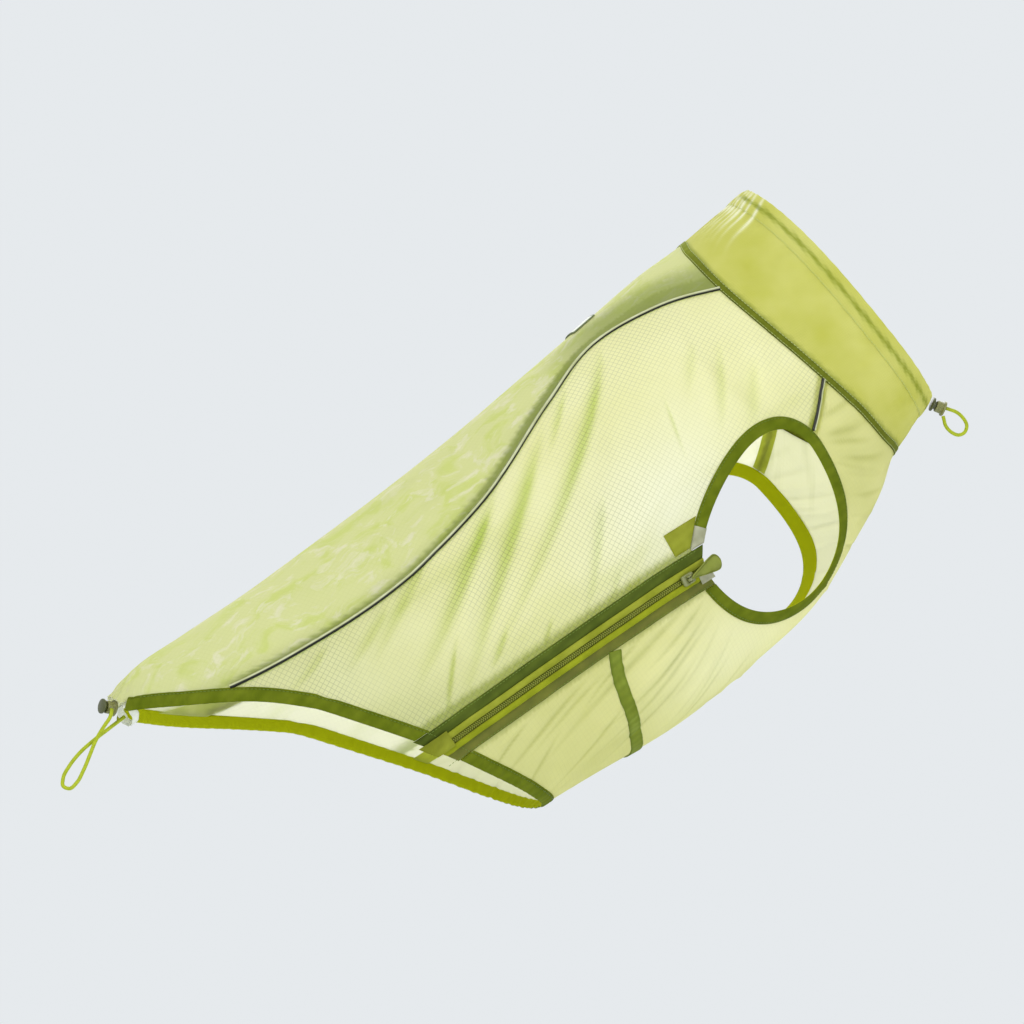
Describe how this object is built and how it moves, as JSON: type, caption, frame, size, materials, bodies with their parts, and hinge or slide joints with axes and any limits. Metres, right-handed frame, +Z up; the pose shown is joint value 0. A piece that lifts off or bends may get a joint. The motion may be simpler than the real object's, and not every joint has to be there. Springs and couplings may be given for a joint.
{
  "type": "dog vest",
  "caption": "Thin ripstop dog vest held in its worn shape: collar and hem with drawcords, bound armholes and a zip down the right side.",
  "frame": {"origin": "inner face of the back panel over the withers, where the wearer's back holds the vest up", "axes": "+X from tail to neck, level; +Z up; +Y to the dog's left. The vest is held pitched up: its back line rises 40 degrees towards the neck"},
  "size_m": [0.6261, 0.1673, 0.4375],
  "materials": {
    "armhole_binding_left": "stretch binding",
    "armhole_binding_right": "stretch binding",
    "back_label": "plain blank patch",
    "back_panel": "pale green printed ripstop, thin",
    "back_piping_left": "dark piping with a satin sheen",
    "back_piping_right": "dark piping with a satin sheen",
    "back_seam_tape_left": "thin woven tape",
    "back_seam_tape_right": "thin woven tape",
    "belly_band": "elastic band",
    "binding_keeper": "folded cloth",
    "chest_panel": "pale lime ripstop, thin and see-through",
    "collar": "lime woven cloth, two layers",
    "collar_casing": "lime woven cloth, folded tunnel",
    "collar_cord_loop": "round braided elastic cord",
    "collar_lock_barrel": "moulded, semi-matt",
    "collar_lock_button": "moulded, semi-matt",
    "collar_seam_tape": "stitched tape",
    "front_piping_left": "dark piping with a satin sheen",
    "front_piping_right": "dark piping with a satin sheen",
    "front_seam_tape_left": "thin woven tape",
    "front_seam_tape_right": "thin woven tape",
    "hem_binding_lower": "stretch binding",
    "hem_binding_upper": "stretch binding",
    "side_panel_left": "pale lime ripstop, thin and see-through",
    "side_panel_right": "pale lime ripstop, thin and see-through",
    "side_seam_tape_left": "thin woven tape",
    "tail_cord_loop": "round braided elastic cord",
    "tail_lock_barrel": "moulded, semi-matt",
    "tail_lock_button": "moulded, semi-matt",
    "tail_ring": "smooth white band",
    "zip_coil": "moulded coil",
    "zip_end_tab": "folded cloth",
    "zip_front_tab": "folded cloth",
    "zip_garage": "folded cloth",
    "zip_pull": "coated tape tab",
    "zip_slider": "painted slider",
    "zip_tape_lower": "woven tape",
    "zip_tape_upper": "woven tape",
    "zip_welt_lower": "folded cloth",
    "zip_welt_upper": "folded cloth"
  },
  "bodies": {
    "vest": {"armhole_binding_left": "armhole_binding_left", "armhole_binding_right": "armhole_binding_right", "back_label": "back_label", "back_panel": "back_panel", "back_piping_left": "back_piping_left", "back_piping_right": "back_piping_right", "back_seam_tape_left": "back_seam_tape_left", "back_seam_tape_right": "back_seam_tape_right", "belly_band": "belly_band", "binding_keeper": "binding_keeper", "chest_panel": "chest_panel", "collar": "collar", "collar_casing": "collar_casing", "collar_cord_loop": "collar_cord_loop", "collar_lock_barrel": "collar_lock_barrel", "collar_seam_tape": "collar_seam_tape", "front_piping_left": "front_piping_left", "front_piping_right": "front_piping_right", "front_seam_tape_left": "front_seam_tape_left", "front_seam_tape_right": "front_seam_tape_right", "hem_binding_lower": "hem_binding_lower", "hem_binding_upper": "hem_binding_upper", "side_panel_left": "side_panel_left", "side_panel_right": "side_panel_right", "side_seam_tape_left": "side_seam_tape_left", "tail_cord_loop": "tail_cord_loop", "tail_lock_barrel": "tail_lock_barrel", "tail_ring": "tail_ring", "zip_coil": "zip_coil", "zip_end_tab": "zip_end_tab", "zip_front_tab": "zip_front_tab", "zip_garage": "zip_garage", "zip_slider": "zip_slider", "zip_tape_lower": "zip_tape_lower", "zip_tape_upper": "zip_tape_upper", "zip_welt_lower": "zip_welt_lower", "zip_welt_upper": "zip_welt_upper"},
    "zip_pull": {"zip_pull": "zip_pull"},
    "collar_button": {"collar_lock_button": "collar_lock_button"},
    "tail_button": {"tail_lock_button": "tail_lock_button"}
  },
  "joints": [
    {"name": "zip_pull_hinge", "type": "hinge", "parent": "vest", "child": "zip_pull", "pos_m": [0.0276, -0.08017, -0.21469], "axis": [0.516, 0.2813, -0.8091], "range_deg": [0, 160]},
    {"name": "collar_lock_press", "type": "slide", "parent": "vest", "child": "collar_button", "axis": [0.9397, 0, -0.342], "range_m": [0, 0.0015], "stiffness_N_per_m": 300, "springref_m": -0.002},
    {"name": "tail_lock_press", "type": "slide", "parent": "vest", "child": "tail_button", "axis": [0.9328, 0.3511, -0.0816], "range_m": [0, 0.0015], "stiffness_N_per_m": 300, "springref_m": -0.002}
  ]
}
